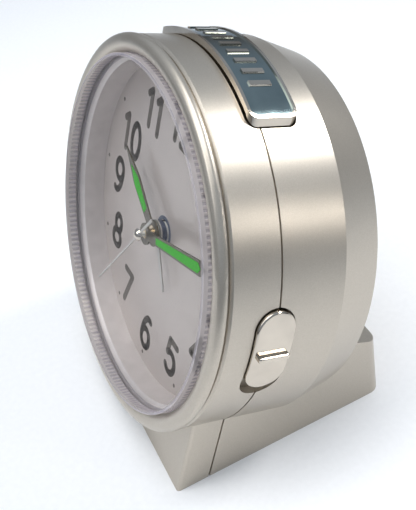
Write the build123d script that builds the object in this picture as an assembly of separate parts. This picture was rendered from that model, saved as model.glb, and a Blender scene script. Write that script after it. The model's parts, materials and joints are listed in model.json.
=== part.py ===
from build123d import *
from math import atan2, cos, degrees, hypot, pi, radians, sin, tan
import os

# Round quartz alarm clock on a moulded wedge foot, in millimetres.
#
# The pieces are drawn in the drum's own frame: X to the right of the face, Y along the drum's axis
# towards the back, Z up the face, with the origin where the case parts. At the end the whole clock
# leans back on its foot, and its origin moves to the middle of the ground under it.

# ---- driving dimensions ----
# Case
DRUM_R = 45.0
WALL = 2.0
TILT = 22.0
AXIS_HEIGHT = 43.5
FRONT_Y = -11.0
CONE_START_Y = 15.0
BACK_Y = 25.6
BACK_R = 41.4
DRUM_EDGE = 0.5
PARTING_GAP = 0.4
PARTING_DEPTH = 0.6
OVERLAP = 1.0
FAR = 200.0
LENGTH_TOLERANCE = 0.01

# Foot
FOOT_HALF_WIDTH = 35.3
FOOT_FRONT_Y = -7.7
FOOT_BACK = 30.4
FOOT_BACK_HEIGHT = 17.8
FOOT_BACK_SLOPE = 28.6
FOOT_SLOPE_RUN = 24.0
FOOT_TOP_Z = -14.0
FOOT_CORNER_R = 3.0
FOOT_FRONT_CORNER_R = 0.8

# Case screws; pairs of numbers are places (x, z) on the back
SCREW_R = 1.3
SCREW_HEAD_R = 2.4
SCREW_HEAD_LENGTH = 1.6
SCREW_CLEARANCE = 0.2
RECESS_DEPTH = 0.8
RECESS_HALF_LENGTH = 1.5
RECESS_HALF_WIDTH = 0.3
BACK_SCREWS = ((-32.0, 18.5), (32.0, 18.5))
BACK_SCREW_SEAT_Y = 10.2
BACK_SCREW_FRONT_Y = -1.5
BOSS_R = 3.6
BOSS_SPLIT_Y = 8.0
BASE_SCREW_X = 27.0
BASE_SCREW_ALONG = -12.0
BASE_SCREW_SINK = 1.2
BASE_LUG_ALONG = -15.2
BASE_LUG_TOP = 10.0
BASE_LUG_WIDTH = 6.8
BASE_LUG_LENGTH = 13.0
BASE_LUG_CLEARANCE = 0.3

# Bezel, lens and dial
BEZEL_BACK_Y = -11.9
BEZEL_R = 45.2
BEZEL_CREST_R = 42.6
BEZEL_CREST = 1.9
BEZEL_SHOULDER_R = 44.3
BEZEL_SHOULDER = 1.7
BEZEL_OUTER_EDGE = (45.1, 1.0)
BEZEL_SPIGOT = (44.1, 42.9, 42.5)
BEZEL_SPIGOT_LENGTH = 4.0
LENS_R = 40.9
LENS_GAP = 0.15
LENS_FRONT_Y = -15.3
LENS_THICKNESS = 1.3
LENS_WALL = 1.5
LENS_EDGE = 0.5
LENS_FLANGE_R = 42.3
LENS_RIBS = 200
LENS_RIB_DEPTH = 0.3
LENS_RIBS_START = 1.5
DIAL_R = 42.2
DIAL_FRONT_Y = -4.4
DIAL_BACK_Y = -3.4
DIAL_HOLE_R = 2.9
DIAL_RING_INNER = ((40.8, 0.15), (39.6, 1.2))
DIAL_RING_FOOT_R = 39.3
LEDGE_R = 37.0
LEDGE_BACK_Y = -1.9
LEDGE_TAB_R = 3.4
LEDGE_BRIDGE_R = 37.5

# Hands: angles are clockwise from twelve, and pairs are the front and back of each hand
CENTRE = (0.0, 0.0)
HOUR_ANGLE = 299.0
MINUTE_ANGLE = 71.0
SECOND_ANGLE = 216.0
ALARM_ANGLE = 144.0
ALARM_HAND_Y = (-6.4, -6.1)
HOUR_HAND_Y = (-7.4, -7.0)
MINUTE_HAND_Y = (-9.3, -8.9)
SECOND_HAND_Y = (-10.9, -10.7)
CAP_FRONT_Y = -11.9
CAP_R = 1.5
ALARM_HAND_LENGTH = 14.0
ALARM_HAND_WIDTH_LOW = 1.8
ALARM_HAND_WIDTH_HIGH = 1.0
ALARM_HAND_WIDEST_AT = 0.9
ALARM_DISC_R = 3.1
ALARM_BOSS_R = 2.8
SECOND_HAND_LENGTH = 32.0
SECOND_HAND_TAIL = 9.0
SECOND_HAND_WIDTH_TAIL = 0.7
SECOND_HAND_WIDTH_TIP = 0.4
SECOND_BOSS_R = 1.4
HOUR_HAND = {"length": 24.0, "width_low": 2.6, "width_high": 3.7, "widest_at": 0.6, "boss": 3.2}
MINUTE_HAND = {"length": 30.4, "width_low": 2.2, "width_high": 3.4, "widest_at": 0.93, "boss": 2.6}
HOUR_LUME = {"start": 6.0, "end": 14.0, "low": 1.9, "high": 2.8, "tip": 18.6}
MINUTE_LUME = {"start": 6.6, "end": 27.6, "low": 1.5, "high": 2.3, "tip": 28.8}
LUME_DEPTH = 0.15
LUME_PROUD = 0.1

# Movement: arbors as (x, z), and the levels of the wheels as (front, back)
TIME_ARBOR = (-9.0, 12.0)
ALARM_ARBOR = (11.0, 12.0)
THIRD_ARBOR = (-10.8, 0.0)
STEP_ARBOR = (10.8, 0.0)
ROTOR_ARBOR = (18.64, 0.0)
RUNNING_CLEARANCE = 0.05
END_SHAKE = 0.3
CANNON_TEETH = 12
SETTING_TEETH = 36
SETTING_PINION_TEETH = 10
HOUR_TEETH = 40
ALARM_TEETH = 40
ALARM_PINION_TEETH = 20
CENTRE_WHEEL_TEETH = 64
THIRD_PINION_TEETH = 8
THIRD_TEETH = 60
SECOND_PINION_TEETH = 8
SECOND_TEETH = 60
STEP_PINION_TEETH = 12
STEP_TEETH = 48
ROTOR_TEETH = 8
TOOTH_ROOT = 0.95
TOOTH_TIP = 0.7
TOOTH_HALF_AT_ROOT = 0.29
TOOTH_HALF_AT_TIP = 0.10
ALARM_LEVEL = (-2.0, -1.2)
HOUR_LEVEL = (-0.9, -0.1)
CANNON_LEVEL = (0.2, 1.2)
CENTRE_LEVEL = (1.7, 2.3)
THIRD_LEVEL = (2.6, 3.2)
SECOND_LEVEL = (3.5, 4.1)
STEP_LEVEL = (4.4, 5.0)
JOIN = 0.1
SECOND_ARBOR_R = 0.5
TRAIN_ARBOR_R = 0.5
ROTOR_ARBOR_R = 0.4
CANNON_R = 1.1
HOUR_PIPE_R = 1.8
ALARM_PIPE_R = 2.5
SETTING_PIVOT_R = 0.6
STEM_R = 1.2
MOVEMENT_HALF_WIDTH = 26.6
MOVEMENT_BOTTOM = -15.0
MOVEMENT_TOP = 25.2
MOVEMENT_FRONT_Y = -3.2
MOVEMENT_SPLIT_Y = 6.8
MOVEMENT_BACK_Y = 8.0
MOVEMENT_WALL = 1.0
MOVEMENT_FACE = 0.8
MOVEMENT_SCREWS = ((-32.0, -8.0), (31.0, -14.0))
MOVEMENT_SCREW_R = 0.9
MOVEMENT_SCREW_HEAD_R = 1.9
MOVEMENT_SCREW_HEAD = 1.1
MOVEMENT_EAR_R = 2.6
MOVEMENT_EAR_BACK_Y = -0.4
MOVEMENT_ARM_HALF_WIDTH = 2.0
MOVEMENT_ARM_START = 0.75

# Stepping motor
ROTOR_R = 2.8
ROTOR_Y = (1.2, 3.8)
ROTOR_AIR_GAP = 0.4
STATOR_X = (13.6, 23.6)
STATOR_Y = (2.0, 2.8)
STATOR_Z = (-5.0, 20.0)
STATOR_LEG = 2.4
STATOR_POSTS = ((22.0, -3.6), (15.0, 19.0))
STATOR_POST_R = 1.0
COIL_Z = (8.0, 17.0)
COIL_LEG_X = (STATOR_X[1] - STATOR_LEG, STATOR_X[1])
BOBBIN_WALL = 0.4
BOBBIN_FLANGE = 0.6
BOBBIN_LIP = 0.2
WINDING = 1.2

# Knobs, sounder and electronics
KNOB_FRONT_Y = BACK_Y + 0.4
KNOB_LENGTH = 5.5
KNOB_R = 5.4
KNOB_RIBS = 30
KNOB_RIB_DEPTH = 0.35
KNOB_EDGE = 0.7
KNOB_SOCKET = 3.0
STEM_HOLE_R = 1.8
SOUNDER_AT = (1.0, 27.5)
SOUNDER_R = 8.0
SOUNDER_LENGTH = 3.2
SOUNDER_CUP_R = 5.6
SOUND_HOLE_R = 0.9
SOUND_HOLE_SPACING = 3.6
SOUND_HOLES_ROUND = 6
BOARD_X = (-15.0, 15.0)
BOARD_Y = (0.4, 16.0)
BOARD_Z = (33.8, 35.0)
BOARD_HOLES = ((-12.0, 13.0), (12.0, 13.0))
BOARD_HOLE_R = 1.1
CRYSTAL_AT = (-9.0, 8.0)
CRYSTAL_R = 1.1
CRYSTAL_LENGTH = 7.0
CHIP_X = (5.5, 11.5)
CHIP_Y = (5.0, 11.0)
CHIP_HEIGHT = 1.5
CONTACT_Y = 3.8
CONTACT_HALF = 3.0
CONTACT_HEIGHT = 2.6
PLUNGER_R = 1.6
PLUNGER_HEIGHT = 0.9
LAMP_X = -4.9
LAMP_R = 1.5
LAMP_RISE = 1.6
LAMP_FRONT_Y = -1.7
LAMP_BACK_Y = 1.6
LAMP_COLLAR_R = 1.6
LAMP_COLLAR = 0.8

# Battery, its tray and door
BATTERY_R = 7.1
BATTERY_LENGTH = 50.0
BATTERY_Y = 16.4
BATTERY_Z = -2.1
BATTERY_NUB_R = 2.6
BATTERY_NUB = 1.2
BATTERY_EDGE = 0.6
TRAY_WALL = 1.2
TRAY_HALF_LENGTH = 29.0
TRAY_BOTTOM = -10.3
TRAY_TOP = 6.1
TRAY_FRONT_Y = 9.2
CONTACT_PLATE_Y = (11.5, 21.3)
CONTACT_PLATE_Z = (-7.5, 4.0)
POSITIVE_PLATE = (2.6, 3.2)
POSITIVE_DIMPLE_R = 1.6
NEGATIVE_PLATE = (3.3, 3.8)
SPRING_WIRE_R = 0.35
SPRING_SET_IN = 0.6
SPRING_TURNS = 3.0
SPRING_R = 3.2
DOOR_FRONT_Y = 24.0
DOOR_GAP = 0.3
DOOR_LAP = 1.0
DOOR_LAP_Z = 0.6
DOOR_SEAT_GAP = 0.2
DOOR_GROOVES = 5
DOOR_GROOVE_HALF_LENGTH = 6.0
DOOR_GROOVE_HALF_WIDTH = 0.35
DOOR_GROOVE_DEPTH = 0.4
DOOR_GROOVE_PITCH = 1.3
DOOR_GROOVE_FIRST = 2.4

# Snooze bar
SNOOZE_HALF_LENGTH = 22.6
SNOOZE_FRONT_Y = -2.4
SNOOZE_BACK_Y = 8.6
SNOOZE_TOP_R = 46.6
SNOOZE_BOTTOM_R = 43.3
SNOOZE_CORNER_R = 2.0
SNOOZE_GAP = 0.4
SNOOZE_TRAVEL = 1.2
SNOOZE_RIM = 0.7
SNOOZE_FLOOR_R = 45.5
SNOOZE_INSERT_R = 46.3
SNOOZE_MARKS = 9
SNOOZE_MARK_PITCH = 3.6
SNOOZE_MARK_HALF_LENGTH = 2.5
SNOOZE_MARK_HALF_WIDTH = 0.6
SNOOZE_MARK_HEIGHT = 0.3
SNOOZE_POST_R = 1.4
SNOOZE_POST_GAP = 0.1

# Alarm switch on the right side
SWITCH_CENTRE_Y = -0.4
SWITCH_HALF_WIDTH = 4.65
SWITCH_SIDE_GAP = 0.2
SWITCH_POCKET_TOP = 10.8
SWITCH_POCKET_BOTTOM = -12.0
SWITCH_TRAVEL_DEGREES = 2.8
SWITCH_END_GAP = 0.4
SWITCH_CAP_TOP = SWITCH_POCKET_TOP - SWITCH_END_GAP
SWITCH_CAP_BOTTOM = SWITCH_POCKET_BOTTOM + radians(SWITCH_TRAVEL_DEGREES) * DRUM_R + 2 * SWITCH_END_GAP
SWITCH_CAP_R = 45.9
SWITCH_CAP_EDGE = 0.45
SWITCH_GUIDE_R = 42.95
SWITCH_GUIDE_WALL = 0.6
SWITCH_GUIDE_LAP = 1.2
SWITCH_GUIDE_Y = (-5.6, 4.9)
SWITCH_GUIDE_GAP = 0.25
SWITCH_RIB_Z = 0.4
SWITCH_RIB_HEIGHT = 1.3
SWITCH_RIB_HALF_LENGTH = 3.5
SWITCH_RIB_HALF_WIDTH = 0.7
SWITCH_RIB_EDGE = 0.45
SWITCH_STEM_X = (39.2, 44.5)
SWITCH_STEM_Y = (0.9, 3.3)
SWITCH_STEM_Z = (-0.8, 0.8)
SWITCH_STEM_ROOM_Y = (0.6, 3.6)
SWITCH_STEM_ROOM_Z = (-3.8, 1.2)
SWITCH_BLOCK_X = (34.6, 41.2)
SWITCH_BLOCK_Y = (-0.6, 5.0)
SWITCH_BLOCK_Z = (-6.0, 4.0)
SWITCH_BLOCK_SLOT_X = 38.6
SLOT_MARGIN = 0.1
SIDE_X = (30.0, 55.0)

DRUM_AXIS = Axis((0, 0, 0), (0, 1, 0))


# ---- helpers ----
def turned(*points):
    """A solid of revolution about the drum's axis, from (radius, y) points."""
    return revolve(make_face(Polyline(*points, close=True)), Axis.Y)


def turned_curves(curves):
    """A solid of revolution about the drum's axis, from a closed chain of lines and arcs."""
    return revolve(make_face([edge for curve in curves for edge in curve.edges()]), Axis.Y)


def ring(outer, inner, front, back):
    """A plain tube about the drum's axis."""
    return turned((inner, front), (outer, front), (outer, back), (inner, back))


def rod(radius, front, back, at=CENTRE):
    """A cylinder along the drum's axis direction, centred on (x, z)."""
    middle = Pos(at[0], (front + back) / 2, at[1])
    return middle * Rot(90, 0, 0) * Cylinder(radius, back - front)


def block(x_range, y_range, z_range):
    """A box from its limits."""
    size = [high - low for low, high in (x_range, y_range, z_range)]
    centre = [(high + low) / 2 for low, high in (x_range, y_range, z_range)]
    return Pos(*centre) * Box(*size)


def grown(limits, margin):
    """A pair of limits moved apart by a margin at each end."""
    return (limits[0] - margin, limits[1] + margin)


def slab(face, front, back):
    """A flat plate parallel to the dial, from a sketch drawn with x right and y up."""
    plane = Plane(origin=(0, back, 0), x_dir=(1, 0, 0), z_dir=(0, -1, 0))
    return extrude(plane * face, amount=back - front)


def through_side(sketch, z):
    """A prism through the right side of the drum, from a sketch drawn with y across and z up."""
    plane = Plane(origin=(SIDE_X[0], SWITCH_CENTRE_Y, z), x_dir=(0, 1, 0), z_dir=(1, 0, 0))
    return extrude(plane * sketch, amount=SIDE_X[1] - SIDE_X[0])


def behind(front, back):
    """Everything between two planes parallel to the dial."""
    return block((-FAR, FAR), (front, back), (-FAR, FAR))


def from_base(along, up):
    """Drum-frame (y, z) of a point given along the ground and above it."""
    lean = radians(TILT)
    raised = up - AXIS_HEIGHT
    return (along * cos(lean) - raised * sin(lean), along * sin(lean) + raised * cos(lean))


def base_z(y, up=0.0):
    """Drum-frame z of the plane that lies a height above the ground, at y."""
    return y * tan(radians(TILT)) - (AXIS_HEIGHT - up) / cos(radians(TILT))


def clock_turn(shape, angle):
    """Turns a piece drawn pointing at twelve to a clockwise angle on the face."""
    return shape.rotate(DRUM_AXIS, angle)


def one(shape):
    """The largest solid of a result, so that no crumb is left beside it."""
    return max(shape.solids(), key=lambda solid: solid.volume)


# ---- case ----
def drum_body(inset):
    """The drum from its front opening to its back, shrunk by inset."""
    radius = DRUM_R - inset
    back_radius = BACK_R - inset
    return turned(
        (0, FRONT_Y),
        (radius - DRUM_EDGE, FRONT_Y),
        (radius, FRONT_Y + DRUM_EDGE),
        (radius, CONE_START_Y),
        (back_radius + DRUM_EDGE, BACK_Y - inset - DRUM_EDGE),
        (back_radius - DRUM_EDGE, BACK_Y - inset),
        (0, BACK_Y - inset),
    )


def foot_body(inset):
    """The wedge foot, shrunk by inset, down to the plane the inset leaves above the ground."""
    front = FOOT_FRONT_Y + inset
    half_width = FOOT_HALF_WIDTH - inset
    back = FOOT_BACK - inset
    back_height = FOOT_BACK_HEIGHT - inset
    profile = [
        (front, FOOT_TOP_Z),
        (front, base_z(front, inset)),
        from_base(back, inset),
        from_base(back, back_height),
        from_base(back - FOOT_SLOPE_RUN, back_height + FOOT_SLOPE_RUN * tan(radians(FOOT_BACK_SLOPE))),
    ]
    plane = Plane(origin=(-half_width, 0, 0), x_dir=(0, 1, 0), z_dir=(1, 0, 0))
    prism = extrude(plane * make_face(Polyline(*profile, close=True)), amount=2 * half_width)
    if inset < FOOT_FRONT_CORNER_R:
        rear_edges = [
            edge
            for edge in prism.edges()
            if abs(edge.length - (back_height - inset)) < LENGTH_TOLERANCE and edge.center().Y > 0
        ]
        prism = fillet(rear_edges, FOOT_CORNER_R - inset)
        front_edges = prism.faces().sort_by(Axis.Y)[0].edges().filter_by(Axis.Z)
        prism = fillet(front_edges, FOOT_FRONT_CORNER_R - inset / 2)
    return prism


def ground_cutter(up):
    """Everything below the plane that lies a height above the ground."""
    below = Pos(0, 0, up - AXIS_HEIGHT - FAR / 2) * Box(FAR, FAR, FAR)
    return Rot(TILT, 0, 0) * below


def case_body(inset):
    """Drum and foot in one, trimmed flat at the bottom."""
    return (drum_body(inset) + foot_body(inset)) - ground_cutter(inset)


def snooze_outline(margin):
    """The snooze bar's outline in plan, as a prism through the top of the drum."""
    length = 2 * (SNOOZE_HALF_LENGTH + margin)
    width = SNOOZE_BACK_Y - SNOOZE_FRONT_Y + 2 * margin
    outline = RectangleRounded(length, width, SNOOZE_CORNER_R + margin)
    return Pos(0, (SNOOZE_BACK_Y + SNOOZE_FRONT_Y) / 2, SIDE_X[0]) * extrude(
        outline, amount=SIDE_X[1] - SIDE_X[0]
    )


def switch_outline(bottom, top, half_width):
    """A round-ended slot through the right side of the drum."""
    return through_side(SlotOverall(top - bottom, 2 * half_width, rotation=90), (top + bottom) / 2)


def case_cuts():
    """What both half cases lose: the parting line, the snooze bar's room and the switch's pocket."""
    band = behind(-PARTING_GAP / 2, PARTING_GAP / 2)
    groove = (case_body(-OVERLAP) & band) - case_body(PARTING_DEPTH)
    pocket = switch_outline(SWITCH_POCKET_BOTTOM, SWITCH_POCKET_TOP, SWITCH_HALF_WIDTH)
    return [groove, snooze_outline(SNOOZE_GAP), pocket]


def upright_rod(radius, low, high, x):
    """A cylinder square to the ground, in the foot's front corner."""
    y, z = from_base(BASE_SCREW_ALONG, (low + high) / 2)
    return Pos(x, y, z) * Rot(TILT, 0, 0) * Cylinder(radius, high - low)


def base_lug(x, clearance):
    """The lug on the front case that the base screw pulls up to, grown by a clearance."""
    y, z = from_base(BASE_LUG_ALONG, (WALL + BASE_LUG_TOP) / 2 + clearance)
    width = BASE_LUG_WIDTH + 2 * clearance
    length = BASE_LUG_LENGTH + 2 * clearance
    return Pos(x, y, z) * Rot(TILT, 0, 0) * Box(width, length, BASE_LUG_TOP - WALL + 2 * clearance)


def switch_guide_window(x_range=SIDE_X):
    """The stretch of the drum's side that the switch guide covers."""
    z_range = grown((SWITCH_POCKET_BOTTOM, SWITCH_POCKET_TOP), SWITCH_GUIDE_LAP)
    return block(x_range, SWITCH_GUIDE_Y, z_range)


def front_case():
    """Front half: the drum's front with the ledge that carries dial and movement, and the foot's toe."""
    shell = case_body(0) - case_body(WALL) - behind(0, FAR)
    shell -= rod(DRUM_R - WALL, FRONT_Y - OVERLAP, 0)
    shell += ring(DRUM_R - WALL + JOIN, LEDGE_R, DIAL_BACK_Y, LEDGE_BACK_Y)
    for at in BACK_SCREWS:
        shell += rod(BOSS_R, LEDGE_BACK_Y - JOIN, BOSS_SPLIT_Y, at)
        shell -= rod(SCREW_R, BACK_SCREW_FRONT_Y - OVERLAP, BOSS_SPLIT_Y + OVERLAP, at)
    for x, z in MOVEMENT_SCREWS:
        outward = LEDGE_BRIDGE_R / hypot(x, z)
        for at in ((x, z), (x * outward, z * outward)):
            shell += rod(LEDGE_TAB_R, DIAL_BACK_Y, LEDGE_BACK_Y, at)
        shell -= rod(MOVEMENT_SCREW_R, DIAL_BACK_Y - OVERLAP, LEDGE_BACK_Y + OVERLAP, (x, z))
    for x in (-BASE_SCREW_X, BASE_SCREW_X):
        lug = base_lug(x, 0) & case_body(WALL - JOIN)
        shell += lug - rod(DRUM_R - PARTING_DEPTH, -FAR, FAR)
        shell -= upright_rod(SCREW_R, 0, BASE_LUG_TOP - SCREW_R, x)
    guide_room = ring(DRUM_R - WALL, SWITCH_GUIDE_R - SWITCH_GUIDE_WALL - SLOT_MARGIN, *SWITCH_GUIDE_Y)
    shell -= guide_room & switch_guide_window()
    for cut in case_cuts():
        shell -= cut
    return one(shell)


def rear_case():
    """Rear half: the drum's tapered back with the battery tray, and most of the foot."""
    shell = case_body(0) - case_body(WALL) - behind(-FAR, 0)
    tray = block(
        grown((-TRAY_HALF_LENGTH, TRAY_HALF_LENGTH), TRAY_WALL),
        (TRAY_FRONT_Y - TRAY_WALL, BACK_Y - PARTING_DEPTH),
        grown((TRAY_BOTTOM, TRAY_TOP), TRAY_WALL),
    )
    inner_body = case_body(PARTING_DEPTH)
    shell += tray & inner_body
    shell -= block(
        (-TRAY_HALF_LENGTH, TRAY_HALF_LENGTH), (TRAY_FRONT_Y, BACK_Y + OVERLAP), (TRAY_BOTTOM, TRAY_TOP)
    )
    shell -= door_block(DOOR_LAP, DOOR_FRONT_Y - DOOR_SEAT_GAP, BACK_Y + OVERLAP)
    for at in BACK_SCREWS:
        shell += rod(BOSS_R, BOSS_SPLIT_Y, BACK_Y - OVERLAP, at) & inner_body
        shell -= rod(SCREW_R + SCREW_CLEARANCE, BOSS_SPLIT_Y - OVERLAP, BACK_Y, at)
        shell -= rod(SCREW_HEAD_R + SCREW_CLEARANCE, BACK_SCREW_SEAT_Y, BACK_Y + OVERLAP, at)
    back_holes = [(STEM_HOLE_R, TIME_ARBOR), (STEM_HOLE_R, ALARM_ARBOR)]
    back_holes += [(SOUND_HOLE_R, at) for at in sound_holes()]
    for radius, at in back_holes:
        shell -= rod(radius, BACK_Y - WALL - OVERLAP, BACK_Y + OVERLAP, at)
    for x in (-BASE_SCREW_X, BASE_SCREW_X):
        shell -= base_lug(x, BASE_LUG_CLEARANCE) & case_body(WALL)
        shell -= upright_rod(SCREW_R + SCREW_CLEARANCE, -OVERLAP, WALL + OVERLAP, x)
        shell -= upright_rod(SCREW_HEAD_R + SCREW_CLEARANCE, -OVERLAP, BASE_SCREW_SINK, x)
    for cut in case_cuts():
        shell -= cut
    return one(shell)


def sound_holes():
    """One hole in the middle and a circle of them round it, over the sounder."""
    x, z = SOUNDER_AT
    turns = [2 * pi * step / SOUND_HOLES_ROUND for step in range(SOUND_HOLES_ROUND)]
    around = [(x + SOUND_HOLE_SPACING * cos(turn), z + SOUND_HOLE_SPACING * sin(turn)) for turn in turns]
    return [SOUNDER_AT, *around]


# ---- front: bezel, lens, dial ----
def bezel_ring():
    """Rounded ring that holds the lens down, with a spigot that fits inside the drum."""
    inner = LENS_R + LENS_GAP
    spigot_out, spigot_in, throat = BEZEL_SPIGOT
    foot = (inner, BEZEL_BACK_Y)
    inner_lip = (inner, BEZEL_BACK_Y - BEZEL_OUTER_EDGE[1] / 2)
    crest = (BEZEL_CREST_R, BEZEL_BACK_Y - BEZEL_CREST)
    shoulder = (BEZEL_SHOULDER_R, BEZEL_BACK_Y - BEZEL_SHOULDER)
    outer_edge = (BEZEL_OUTER_EDGE[0], BEZEL_BACK_Y - BEZEL_OUTER_EDGE[1])
    outer_foot = (BEZEL_R, BEZEL_BACK_Y)
    lip = [
        Line(foot, inner_lip),
        ThreePointArc(inner_lip, crest, shoulder),
        ThreePointArc(shoulder, outer_edge, outer_foot),
        Polyline(
            outer_foot,
            (spigot_out, BEZEL_BACK_Y),
            (spigot_out, FRONT_Y),
            (spigot_in, FRONT_Y),
            (spigot_in, FRONT_Y + BEZEL_SPIGOT_LENGTH),
            (throat, FRONT_Y + BEZEL_SPIGOT_LENGTH),
            (throat, BEZEL_BACK_Y),
            foot,
        ),
    ]
    return turned_curves(lip)


def ribbed_disc(radius, depth, count, front, back):
    """A disc whose rim is cut into fine V ribs."""
    points = []
    for step in range(2 * count):
        reach = radius - depth * (step % 2)
        turn = pi * step / count
        points.append((reach * cos(turn), reach * sin(turn)))
    return slab(make_face(Polyline(*points, close=True)), front, back)


def lens():
    """Clear cover with a flat front, a chamfered edge, a part ribbed side and a flange under the bezel."""
    inner = LENS_R - LENS_WALL
    flange_back = FRONT_Y + SLOT_MARGIN
    shoulder_y = LENS_FRONT_Y + LENS_EDGE
    ribs_y = LENS_FRONT_Y + LENS_RIBS_START
    cup = rod(LENS_R, shoulder_y, ribs_y)
    cup += ribbed_disc(LENS_R, LENS_RIB_DEPTH, LENS_RIBS, ribs_y - JOIN, BEZEL_BACK_Y)
    face = turned(
        (0, LENS_FRONT_Y),
        (LENS_R - 2 * LENS_EDGE, LENS_FRONT_Y),
        (LENS_R - LENS_EDGE, shoulder_y),
        (0, shoulder_y),
    )
    hollow = rod(inner, LENS_FRONT_Y + LENS_THICKNESS, flange_back + OVERLAP)
    flange = ring(LENS_FLANGE_R, inner, BEZEL_BACK_Y, flange_back)
    return one((cup + face - hollow) + flange)


def dial_ring():
    """Sloping ring round the dial, from under the lens down to the dial's edge."""
    slope = [(radius, FRONT_Y + down) for radius, down in DIAL_RING_INNER]
    return turned(
        (DIAL_R, DIAL_FRONT_Y),
        (DIAL_R, slope[0][1]),
        *slope,
        (DIAL_RING_FOOT_R, DIAL_FRONT_Y),
    )


def dial():
    return ring(DIAL_R, DIAL_HOLE_R, DIAL_FRONT_Y, DIAL_BACK_Y)


# ---- gears ----
def gear_face(teeth, module, tooth_at):
    """Outline of a spur gear with straight-sided teeth; one tooth is centred at tooth_at degrees."""
    root_r = teeth * module / 2 - TOOTH_ROOT * module
    tip_r = teeth * module / 2 + TOOTH_TIP * module
    pitch = 2 * pi / teeth
    corners = (
        (root_r, -TOOTH_HALF_AT_ROOT),
        (tip_r, -TOOTH_HALF_AT_TIP),
        (tip_r, TOOTH_HALF_AT_TIP),
        (root_r, TOOTH_HALF_AT_ROOT),
    )
    points = []
    for tooth in range(teeth):
        for radius, half in corners:
            turn = radians(tooth_at) + (tooth + half) * pitch
            points.append((radius * cos(turn), radius * sin(turn)))
    return make_face(Polyline(*points, close=True))


def gear(teeth, module, level, at, tooth_at, bore=0.0):
    """A spur gear between the two levels, on the arbor at (x, z)."""
    wheel = Pos(at[0], 0, at[1]) * slab(gear_face(teeth, module, tooth_at), *level)
    if bore:
        wheel -= rod(bore, level[0] - OVERLAP, level[1] + OVERLAP, at)
    return wheel


def direction(start, end):
    """Angle in degrees from one arbor to another, seen with x right and z up."""
    return degrees(atan2(end[1] - start[1], end[0] - start[0]))


def meshed_module(start, end, teeth_a, teeth_b):
    """Module that lets two wheels mesh at the distance between their arbors."""
    return 2 * hypot(end[0] - start[0], end[1] - start[1]) / (teeth_a + teeth_b)


CANNON_MODULE = meshed_module(CENTRE, TIME_ARBOR, CANNON_TEETH, SETTING_TEETH)
HOUR_MODULE = meshed_module(CENTRE, TIME_ARBOR, HOUR_TEETH, SETTING_PINION_TEETH)
ALARM_MODULE = meshed_module(CENTRE, ALARM_ARBOR, ALARM_TEETH, ALARM_PINION_TEETH)
CENTRE_MODULE = meshed_module(CENTRE, THIRD_ARBOR, CENTRE_WHEEL_TEETH, THIRD_PINION_TEETH)
THIRD_MODULE = meshed_module(CENTRE, THIRD_ARBOR, SECOND_PINION_TEETH, THIRD_TEETH)
SECOND_MODULE = meshed_module(CENTRE, STEP_ARBOR, SECOND_TEETH, STEP_PINION_TEETH)
STEP_MODULE = meshed_module(STEP_ARBOR, ROTOR_ARBOR, STEP_TEETH, ROTOR_TEETH)


def gap_towards(start, end, teeth):
    """Where a wheel's tooth stands so that a gap between teeth faces the other arbor."""
    return direction(start, end) + 180 / teeth


def arbor(radius, front, at):
    """A pivot from a wheel to the hole in the movement's back plate."""
    return rod(radius, front - JOIN, MOVEMENT_BACK_Y - END_SHAKE, at)


def alarm_wheel():
    bore = HOUR_PIPE_R + RUNNING_CLEARANCE
    tooth = gap_towards(CENTRE, ALARM_ARBOR, ALARM_TEETH)
    wheel = gear(ALARM_TEETH, ALARM_MODULE, ALARM_LEVEL, CENTRE, tooth, bore)
    return wheel + ring(ALARM_PIPE_R, bore, ALARM_HAND_Y[0], ALARM_LEVEL[0] + JOIN)


def alarm_hand():
    """Slim pointer on a round disc, with a boss that fits the alarm pipe."""
    finger = hand_blade(
        ALARM_HAND_LENGTH, ALARM_HAND_WIDTH_LOW, ALARM_HAND_WIDTH_HIGH, ALARM_HAND_WIDEST_AT
    )
    hand = slab(finger + Circle(ALARM_DISC_R), *ALARM_HAND_Y)
    boss = rod(ALARM_BOSS_R, ALARM_HAND_Y[1] - JOIN, DIAL_FRONT_Y - 4 * JOIN)
    bore = rod(ALARM_PIPE_R, ALARM_HAND_Y[0] - OVERLAP, DIAL_FRONT_Y)
    return clock_turn(hand + boss - bore, ALARM_ANGLE)


def hour_wheel():
    bore = CANNON_R + RUNNING_CLEARANCE
    tooth = gap_towards(CENTRE, TIME_ARBOR, HOUR_TEETH)
    wheel = gear(HOUR_TEETH, HOUR_MODULE, HOUR_LEVEL, CENTRE, tooth, bore)
    return wheel + ring(HOUR_PIPE_R, bore, HOUR_HAND_Y[0], HOUR_LEVEL[0] + JOIN)


def hand_blade(length, width_low, width_high, widest_at):
    """A pointed blade from the centre to twelve, widest at a share of its length."""
    low = width_low / 2
    high = width_high / 2
    side = widest_at * length
    return Polygon((low, 0), (high, side), (0, length), (-high, side), (-low, 0), align=None)


def shaped_hand(sizes, level, pipe_radius, inlay, angle):
    """A bladed hand with a round boss and a shallow bed for its inlay."""
    blade = hand_blade(sizes["length"], sizes["width_low"], sizes["width_high"], sizes["widest_at"])
    hand = slab(blade + Circle(sizes["boss"]), *level)
    hand -= rod(pipe_radius, level[0] - OVERLAP, level[1] + OVERLAP)
    hand -= slab(lume_outline(**inlay), level[0] - OVERLAP, level[0] + LUME_DEPTH)
    return clock_turn(hand, angle)


def lume_outline(start, end, low, high, tip):
    """The glowing inlay down the middle of a hand."""
    right = [(low / 2, start), (high / 2, end), (0, tip)]
    left = [(-high / 2, end), (-low / 2, start)]
    return Polygon(*right, *left, align=None)


def hand_lume(inlay, level, angle):
    strip = slab(lume_outline(**inlay), level[0] - LUME_PROUD, level[0] + LUME_DEPTH)
    return clock_turn(strip, angle)


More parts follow.
